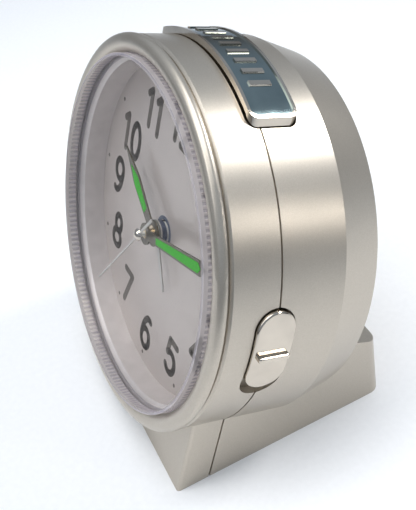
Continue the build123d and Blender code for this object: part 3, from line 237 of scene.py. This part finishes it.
def silver_paint():
    """Satin silver paint: bright flakes in a warm grey, under a thin clear layer."""
    made, tree, shader = new_material("case_silver")
    flakes = tree.nodes.new("ShaderNodeTexVoronoi")
    flakes.inputs["Scale"].default_value = FLAKE_SCALE
    place = tree.nodes.new("ShaderNodeTexCoord")
    tree.links.new(place.outputs["Object"], flakes.inputs["Vector"])
    flake_tone = tree.nodes.new("ShaderNodeSeparateColor")
    tree.links.new(flakes.outputs["Color"], flake_tone.inputs["Color"])
    colour = colour_between(tree, flake_tone.outputs["Red"], *FLAKE_COLOURS, *FLAKE_RANGE)
    tree.links.new(colour, shader.inputs["Base Color"])
    cloud = object_noise(tree, PAINT_CLOUD_SCALE)
    tree.links.new(number_between(tree, cloud, *PAINT_ROUGHNESS), shader.inputs["Roughness"])
    shader.inputs["Metallic"].default_value = PAINT_METALLIC
    shader.inputs["Coat Weight"].default_value = PAINT_COAT
    shader.inputs["Coat Roughness"].default_value = PAINT_COAT_ROUGHNESS
    bump(tree, shader, flake_tone.outputs["Green"], FLAKE_DEPTH, FLAKE_STRENGTH)
    return made


def radius_from_drum_axis(tree):
    """Distance of the shaded point from the drum's axis, in metres."""
    place = tree.nodes.new("ShaderNodeTexCoord")
    offset = tree.nodes.new("ShaderNodeVectorMath")
    offset.operation = "SUBTRACT"
    offset.inputs[1].default_value = DRUM_CENTRE
    tree.links.new(place.outputs["Object"], offset.inputs[0])
    across = tree.nodes.new("ShaderNodeVectorMath")
    across.operation = "CROSS_PRODUCT"
    across.inputs[1].default_value = DRUM_AXIS
    tree.links.new(offset.outputs["Vector"], across.inputs[0])
    length = tree.nodes.new("ShaderNodeVectorMath")
    length.operation = "LENGTH"
    tree.links.new(across.outputs["Vector"], length.inputs[0])
    return length.outputs["Value"]


def calculated(tree, operation, first, second, third=None):
    """One step of arithmetic on node values; a plain number is set on its socket."""
    step = tree.nodes.new("ShaderNodeMath")
    step.operation = operation
    for socket, value in zip(step.inputs, (first, second, third)):
        if isinstance(value, (int, float)):
            socket.default_value = value
        elif value is not None:
            tree.links.new(value, socket)
    return step.outputs["Value"]


def lens_side_colour(tree, radius):
    """Pale frosted ribs, with painted shade as dark grooves between them and a dark line round the front
    edge.
    """
    span = tree.nodes.new("ShaderNodeMapRange")
    span.inputs["From Min"].default_value = LENS_EDGE_R
    span.inputs["From Max"].default_value = LENS_EDGE_R + LENS_RAMP_LENGTH
    tree.links.new(radius, span.inputs["Value"])
    ramp = tree.nodes.new("ShaderNodeValToRGB")
    ramp.color_ramp.interpolation = "CONSTANT"
    ramp.color_ramp.elements[0].color = (*LENS_EDGE_SHADE_COLOUR, 1)
    ramp.color_ramp.elements[1].position = (LENS_GROOVE_R - LENS_EDGE_R) / LENS_RAMP_LENGTH
    ramp.color_ramp.elements[1].color = (*LENS_GROOVE_SHADE_COLOUR, 1)
    ribs = ramp.color_ramp.elements.new((LENS_RIB_R - LENS_EDGE_R) / LENS_RAMP_LENGTH)
    ribs.color = (*LENS_RIB_COLOUR, 1)
    tree.links.new(span.outputs["Result"], ramp.inputs["Fac"])
    return ramp.outputs["Color"]


def clear_plastic(name, gloss, haze, side_frosting=None):
    """Clear moulded plastic: seen through, under a reflection that grows at a slant and a faint haze.

    The lens's ribbed side is part frosted, by the share given, and coloured with painted shade in its grooves
    and along its front edge."""
    made, tree, shader = new_material(name)
    slant = tree.nodes.new("ShaderNodeLayerWeight")
    slant.inputs["Blend"].default_value = SLANT_BLEND
    reflection = calculated(tree, "POWER", slant.outputs["Facing"], SLANT_POWER)
    opacity = calculated(tree, "MULTIPLY_ADD", reflection, gloss, haze)
    cloud = object_noise(tree, CLEAR_CLOUD_SCALE)
    tree.links.new(number_between(tree, cloud, *CLEAR_ROUGHNESS), shader.inputs["Roughness"])
    tint = colour_between(tree, cloud, *CLEAR_TINTS)
    shader.inputs["Metallic"].default_value = 1.0
    if side_frosting is not None:
        radius = radius_from_drum_axis(tree)
        side = calculated(tree, "GREATER_THAN", radius, LENS_EDGE_R)
        frost = calculated(tree, "MULTIPLY", side, side_frosting)
        opacity = calculated(tree, "MAXIMUM", opacity, frost)
        tree.links.new(calculated(tree, "SUBTRACT", 1.0, side), shader.inputs["Metallic"])
        blend = tree.nodes.new("ShaderNodeMix")
        blend.data_type = "RGBA"
        tree.links.new(side, blend.inputs["Factor"])
        tree.links.new(tint, blend.inputs["A"])
        # The lens side gets its frosted colour with painted shade in the grooves and along the front edge
        tree.links.new(lens_side_colour(tree, radius), blend.inputs["B"])
        tint = blend.outputs["Result"]
    tree.links.new(tint, shader.inputs["Base Color"])
    tree.links.new(opacity, shader.inputs["Alpha"])
    return made


def brushed_metal(name, dark, light, rough):
    """Metal with fine lines along one direction."""
    made, tree, shader = new_material(name)
    lines = object_noise(tree, BRUSH_SCALE, detail=4.0, stretch=BRUSH_STRETCH)
    tree.links.new(colour_between(tree, lines, dark, light), shader.inputs["Base Color"])
    tree.links.new(number_between(tree, lines, *rough), shader.inputs["Roughness"])
    shader.inputs["Metallic"].default_value = 1.0
    bump(tree, shader, lines, BRUSH_DEPTH, BRUSH_STRENGTH)
    return made


def silver_hand():
    """Pale silver lacquer, with a dark blue collar between the alarm hand and the dial."""
    made, tree, shader = new_material("hand_silver")
    tone = object_noise(tree, LACQUER_TONE_SCALE)
    silver = colour_between(tree, tone, *LACQUER_COLOURS)
    place = tree.nodes.new("ShaderNodeTexCoord")
    depth = tree.nodes.new("ShaderNodeVectorMath")
    depth.operation = "DOT_PRODUCT"
    depth.inputs[1].default_value = DRUM_AXIS
    tree.links.new(place.outputs["Object"], depth.inputs[0])
    collar = calculated(tree, "GREATER_THAN", depth.outputs["Value"], collar_depth)
    blend = tree.nodes.new("ShaderNodeMix")
    blend.data_type = "RGBA"
    tree.links.new(collar, blend.inputs["Factor"])
    tree.links.new(silver, blend.inputs["A"])
    blend.inputs["B"].default_value = (*COLLAR_COLOUR, 1)
    tree.links.new(blend.outputs["Result"], shader.inputs["Base Color"])
    tree.links.new(number_between(tree, tone, *LACQUER_ROUGHNESS), shader.inputs["Roughness"])
    shader.inputs["Metallic"].default_value = LACQUER_METALLIC
    bump(tree, shader, object_noise(tree, LACQUER_GRAIN_SCALE), LACQUER_GRAIN_DEPTH)
    return made


def lume():
    """Green luminous paint: matt and slightly grainy, with a painted glow that brightens it."""
    made, tree, shader = new_material("lume_green")
    grain = object_noise(tree, LUME_SCALE)
    colour = colour_between(tree, grain, *LUME_COLOURS)
    tree.links.new(colour, shader.inputs["Base Color"])
    # The paint's colour is also emitted as a painted glow
    tree.links.new(colour, shader.inputs["Emission Color"])
    shader.inputs["Emission Strength"].default_value = LUME_PAINTED_GLOW
    shader.inputs["Roughness"].default_value = LUME_ROUGHNESS
    shader.inputs["Specular IOR Level"].default_value = LUME_SPECULAR
    bump(tree, shader, grain, LUME_GRAIN_DEPTH, LUME_GRAIN_STRENGTH)
    return made


finishes = {
    "case_silver": silver_paint(),
    "lens_clear": clear_plastic("lens_clear", gloss=0.09, haze=0.0, side_frosting=0.55),
    "lamp_clear": clear_plastic("lamp_clear", gloss=0.6, haze=0.15),
    "dial_ring_grey": mottled(
        "dial_ring_grey", dark=(0.55, 0.50, 0.475), light=(0.62, 0.565, 0.54), metallic=0.3,
        rough=(0.30, 0.42), tone_scale=300, grain_scale=4000, grain_depth=0.004 * MM,
    ),
    "dial_print": mottled(
        "dial_print", dark=(0.45, 0.395, 0.36), light=(0.50, 0.44, 0.405), metallic=0.25,
        rough=(0.36, 0.48), tone_scale=70, grain_scale=3500, grain_depth=0.004 * MM, coat=0.2,
    ),
    "dial_ink": mottled(
        "dial_ink", dark=(0.085, 0.070, 0.055), light=(0.125, 0.104, 0.083), metallic=0.0,
        rough=(0.42, 0.55), tone_scale=900, grain_scale=5000, grain_depth=0.004 * MM,
    ),
    "hub_ink": mottled(
        "hub_ink", dark=(0.045, 0.06, 0.10), light=(0.065, 0.085, 0.135), metallic=0.0,
        rough=(0.40, 0.52), tone_scale=900, grain_scale=5000, grain_depth=0.004 * MM,
    ),
    "hand_dark": mottled(
        "hand_dark", dark=(0.070, 0.058, 0.036), light=(0.105, 0.088, 0.056), metallic=0.35,
        rough=(0.28, 0.42), tone_scale=700, grain_scale=4000, grain_depth=0.003 * MM,
    ),
    "hand_silver": silver_hand(),
    "lume_green": lume(),
    "chrome_trim": mottled(
        "chrome_trim", dark=(0.52, 0.47, 0.405), light=(0.62, 0.56, 0.48), metallic=1.0,
        rough=(0.07, 0.13), tone_scale=110, grain_scale=330, grain_depth=0.045 * MM,
    ),
    "mirror_teal": mottled(
        "mirror_teal", dark=(0.18, 0.24, 0.245), light=(0.24, 0.305, 0.31), metallic=1.0,
        rough=(0.06, 0.12), tone_scale=120, grain_scale=600, grain_depth=0.008 * MM, coat=0.4,
    ),
    "pipe_brass": brushed_metal(
        "pipe_brass", dark=(0.50, 0.40, 0.27), light=(0.62, 0.51, 0.36), rough=(0.22, 0.32),
    ),
    "gear_plastic": mottled(
        "gear_plastic", dark=(0.72, 0.71, 0.66), light=(0.80, 0.79, 0.74), metallic=0.0,
        rough=(0.38, 0.50), tone_scale=300, grain_scale=3000, grain_depth=0.006 * MM,
    ),
    "movement_plastic": mottled(
        "movement_plastic", dark=(0.025, 0.025, 0.027), light=(0.04, 0.04, 0.042), metallic=0.0,
        rough=(0.42, 0.58), tone_scale=260, grain_scale=3200, grain_depth=0.012 * MM,
    ),
    "knob_plastic": mottled(
        "knob_plastic", dark=(0.03, 0.03, 0.032), light=(0.05, 0.05, 0.052), metallic=0.0,
        rough=(0.34, 0.48), tone_scale=320, grain_scale=3600, grain_depth=0.01 * MM,
    ),
    "magnet_dark": mottled(
        "magnet_dark", dark=(0.07, 0.07, 0.075), light=(0.11, 0.11, 0.115), metallic=0.6,
        rough=(0.38, 0.52), tone_scale=800, grain_scale=5000, grain_depth=0.006 * MM,
    ),
    "core_steel": brushed_metal(
        "core_steel", dark=(0.50, 0.49, 0.47), light=(0.62, 0.61, 0.59), rough=(0.26, 0.36),
    ),
    "screw_steel": brushed_metal(
        "screw_steel", dark=(0.56, 0.55, 0.53), light=(0.70, 0.69, 0.67), rough=(0.20, 0.32),
    ),
    "coil_copper": brushed_metal(
        "coil_copper", dark=(0.62, 0.27, 0.12), light=(0.78, 0.38, 0.19), rough=(0.24, 0.34),
    ),
    "board_green": mottled(
        "board_green", dark=(0.012, 0.10, 0.04), light=(0.02, 0.15, 0.06), metallic=0.0,
        rough=(0.26, 0.38), tone_scale=260, grain_scale=2600, grain_depth=0.006 * MM, coat=0.3,
    ),
    "crystal_can": brushed_metal(
        "crystal_can", dark=(0.62, 0.62, 0.61), light=(0.76, 0.76, 0.75), rough=(0.16, 0.26),
    ),
    "chip_black": mottled(
        "chip_black", dark=(0.018, 0.018, 0.02), light=(0.03, 0.03, 0.032), metallic=0.0,
        rough=(0.48, 0.62), tone_scale=500, grain_scale=4200, grain_depth=0.006 * MM,
    ),
    "sounder_black": mottled(
        "sounder_black", dark=(0.02, 0.02, 0.022), light=(0.035, 0.035, 0.037), metallic=0.0,
        rough=(0.40, 0.54), tone_scale=380, grain_scale=3000, grain_depth=0.01 * MM,
    ),
    "cell_jacket": mottled(
        "cell_jacket", dark=(0.05, 0.09, 0.20), light=(0.07, 0.12, 0.26), metallic=0.4,
        rough=(0.24, 0.34), tone_scale=200, grain_scale=1800, grain_depth=0.004 * MM, coat=0.4,
    ),
}

for node in frame["nodes"].values():
    for slot in node.material_slots:
        slot.material = finishes[slot.material.name]


# ---------------------------------------------------------------- dial printing

def arc(centre, radii, start, end):
    """Points on an ellipse's arc, with its angles in degrees from the right, anticlockwise."""
    steps = max(2, round(abs(end - start) / ARC_STEP_DEGREES))
    angles = [math.radians(start + (end - start) * i / steps) for i in range(steps + 1)]
    return [(centre[0] + radii[0] * math.cos(a), centre[1] + radii[1] * math.sin(a)) for a in angles]


# Each digit is drawn as strokes in a cell one unit high, centred on the origin.
DIGITS = {
    "0": [arc((0, 0), (0.27, 0.5), 0, 360)],
    "1": [[(-0.17, 0.34), (0.04, 0.5), (0.04, -0.5)]],
    "2": [arc((0, 0.23), (0.26, 0.27), 165, -25) + [(-0.27, -0.5), (0.29, -0.5)]],
    "3": [arc((-0.02, 0.24), (0.25, 0.26), 150, -90), arc((-0.02, -0.24), (0.28, 0.26), 90, -150)],
    "4": [[(0.12, -0.5), (0.12, 0.5), (-0.30, -0.20), (0.30, -0.20)]],
    "5": [[(0.25, 0.5), (-0.19, 0.5), (-0.24, 0.04)] + arc((-0.02, -0.18), (0.29, 0.32), 118, -140)],
    "6": [arc((0.0, -0.2), (0.27, 0.3), 180, 540), arc((0.1, -0.2), (0.37, 0.7), 75, 180)],
    "7": [[(-0.26, 0.5), (0.27, 0.5), (-0.08, -0.5)]],
    "8": [arc((0, 0.25), (0.22, 0.25), 0, 360), arc((0, -0.25), (0.28, 0.25), 0, 360)],
    "9": [arc((0.0, 0.2), (0.27, 0.3), 0, 360), arc((-0.1, 0.2), (0.37, 0.7), -105, 0)],
}


def on_dial(right, up):
    """A point on the dial's front face, from its place right of and above the drum's axis."""
    return dial_centre + CLOCK_RIGHT * right + CLOCK_UP * up


def add_disc(bm, right, up, radius):
    """A flat dot of ink."""
    rim = [
        bm.verts.new(on_dial(right + radius * math.cos(a), up + radius * math.sin(a)))
        for a in (2 * math.pi * i / DISC_SIDES for i in range(DISC_SIDES))
    ]
    bm.faces.new(rim)


def add_ring(bm, inner, outer):
    """A flat ring of ink round the drum's axis."""
    turns = [2 * math.pi * i / RING_SIDES for i in range(RING_SIDES)]
    rims = [
        [bm.verts.new(on_dial(radius * math.cos(a), radius * math.sin(a))) for a in turns]
        for radius in (inner, outer)
    ]
    for i in range(RING_SIDES):
        j = (i + 1) % RING_SIDES
        bm.faces.new([rims[0][i], rims[1][i], rims[1][j], rims[0][j]])


def add_stroke(bm, points, width):
    """A flat line of ink along the points, with round ends and corners."""
    for (x0, y0), (x1, y1) in zip(points, points[1:]):
        run = math.hypot(x1 - x0, y1 - y0)
        across = ((y0 - y1) / run * width / 2, (x1 - x0) / run * width / 2)
        corners = [
            (x0 - across[0], y0 - across[1]),
            (x1 - across[0], y1 - across[1]),
            (x1 + across[0], y1 + across[1]),
            (x0 + across[0], y0 + across[1]),
        ]
        bm.faces.new([bm.verts.new(on_dial(*corner)) for corner in corners])
    for x, y in points:
        add_disc(bm, x, y, width / 2)


def ink_piece(name, bm, finish="dial_ink"):
    """Turns the flat faces on the dial into one thin layer of ink."""
    mesh = bpy.data.meshes.new(name)
    bm.to_mesh(mesh)
    bm.free()
    piece = bpy.data.objects.new(name, mesh)
    bpy.context.scene.collection.objects.link(piece)
    mesh.materials.append(finishes[finish])
    layer = piece.modifiers.new("ink", "SOLIDIFY")
    layer.thickness = INK_THICKNESS
    layer.offset = 1
    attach(piece, "case")


for hour in range(1, 13):
    turn = hour * HOUR_TURN
    numeral = bmesh.new()
    label = str(hour)
    drop = NUMERAL_DROP + TEN_DROP if label == "10" else NUMERAL_DROP
    level = NUMERAL_CENTRE_R * math.cos(turn) - drop
    step = ONE_STEP if label == "11" else DIGIT_STEP
    for place, digit in enumerate(label):
        middle = NUMERAL_CENTRE_R * math.sin(turn) + step * (place - (len(label) - 1) / 2)
        for stroke in DIGITS[digit]:
            points = [(middle + x * NUMERAL_WIDTH, level + y * NUMERAL_HEIGHT) for x, y in stroke]
            add_stroke(numeral, points, NUMERAL_STROKE)
    ink_piece(f"numeral_{hour}", numeral)

dots = bmesh.new()
for hour in range(12):
    turn = hour * HOUR_TURN
    add_disc(dots, HOUR_DOT_CENTRE_R * math.sin(turn), HOUR_DOT_CENTRE_R * math.cos(turn), HOUR_DOT_R)
ink_piece("hour_dots", dots)

hub = bmesh.new()
add_ring(hub, *HUB_RING)
ink_piece("hub_ring", hub, "hub_ink")


# ---------------------------------------------------------------- floor, lights and camera

def make_floor():
    """A plain sheet of pale paper under the clock."""
    bm = bmesh.new()
    bmesh.ops.create_grid(bm, x_segments=FLOOR_CELLS, y_segments=FLOOR_CELLS, size=FLOOR_SIZE / 2)
    mesh = bpy.data.meshes.new("floor")
    bm.to_mesh(mesh)
    bm.free()
    floor = bpy.data.objects.new("floor", mesh)
    bpy.context.scene.collection.objects.link(floor)
    made, tree, shader = new_material("floor_paper")
    fibre = object_noise(tree, FIBRE_SCALE)
    tree.links.new(colour_between(tree, fibre, *FLOOR_COLOURS), shader.inputs["Base Color"])
    shader.inputs["Roughness"].default_value = PAPER_ROUGHNESS
    shader.inputs["Specular IOR Level"].default_value = PAPER_SPECULAR
    bump(tree, shader, fibre, FIBRE_DEPTH, FIBRE_STRENGTH)
    mesh.materials.append(made)


def softbox(name, azimuth, elevation, distance, width, height, watts, spread, colour=(1, 1, 1)):
    """An area light aimed at the clock, with its light kept within an angle in degrees.

    Azimuth 0 is in front of the dial and 90 is on its right."""
    a, e = math.radians(azimuth), math.radians(elevation)
    away = Vector((math.sin(a) * math.cos(e), -math.cos(a) * math.cos(e), math.sin(e)))
    data = bpy.data.lights.new(name, "AREA")
    data.shape = "RECTANGLE"
    data.size = width
    data.size_y = height
    data.energy = watts
    data.spread = math.radians(spread)
    data.color = colour
    light = bpy.data.objects.new(name, data)
    bpy.context.scene.collection.objects.link(light)
    light.location = CAMERA_TARGET + away * distance
    light.rotation_mode = "QUATERNION"
    light.rotation_quaternion = (-away).to_track_quat("-Z", "Y")


def make_world():
    """A dim room: dark round the horizon, paler and slightly blue overhead."""
    world = bpy.data.worlds.new("studio")
    world.use_nodes = True
    tree = world.node_tree
    place = tree.nodes.new("ShaderNodeTexCoord")
    parts = tree.nodes.new("ShaderNodeSeparateXYZ")
    tree.links.new(place.outputs["Generated"], parts.inputs["Vector"])
    sky = colour_between(tree, parts.outputs["Z"], *ROOM_COLOURS, *ROOM_CHANGE)
    background = tree.nodes["Background"]
    tree.links.new(sky, background.inputs["Color"])
    background.inputs["Strength"].default_value = ROOM_STRENGTH
    bpy.context.scene.world = world


def make_camera():
    """The camera at the photograph's angle, rolled about its own line of sight."""
    a, e = CAMERA_AZIMUTH, CAMERA_ELEVATION
    back = Vector((math.sin(a) * math.cos(e), -math.cos(a) * math.cos(e), math.sin(e)))
    level_right = (-back).cross(Vector((0, 0, 1))).normalized()
    level_up = level_right.cross(-back)
    right = level_right * math.cos(CAMERA_ROLL) - level_up * math.sin(CAMERA_ROLL)
    up = level_right * math.sin(CAMERA_ROLL) + level_up * math.cos(CAMERA_ROLL)
    data = bpy.data.cameras.new("camera")
    data.lens = CAMERA_LENS
    data.sensor_width = CAMERA_SENSOR
    data.clip_start = CAMERA_NEAR
    camera = bpy.data.objects.new("camera", data)
    bpy.context.scene.collection.objects.link(camera)
    turned = Matrix((right, up, back)).transposed().to_4x4()
    camera.matrix_world = Matrix.Translation(CAMERA_TARGET + back * CAMERA_DISTANCE) @ turned
    bpy.context.scene.camera = camera


make_floor()
softbox(
    "window", azimuth=176, elevation=36, distance=1.2, width=0.32, height=0.19, watts=0.22, spread=30,
)
softbox(
    "window_low", azimuth=134, elevation=17, distance=1.2, width=0.16, height=0.20, watts=0.030,
    spread=30, colour=(1, 0.96, 0.91),
)
softbox(
    "overhead", azimuth=-60, elevation=84, distance=0.8, width=0.7, height=0.7, watts=0.82, spread=60,
)
softbox("front", azimuth=-15, elevation=50, distance=1.0, width=0.6, height=0.5, watts=0.48, spread=70)
make_world()
make_camera()
bpy.context.scene.view_settings.view_transform = "Standard"
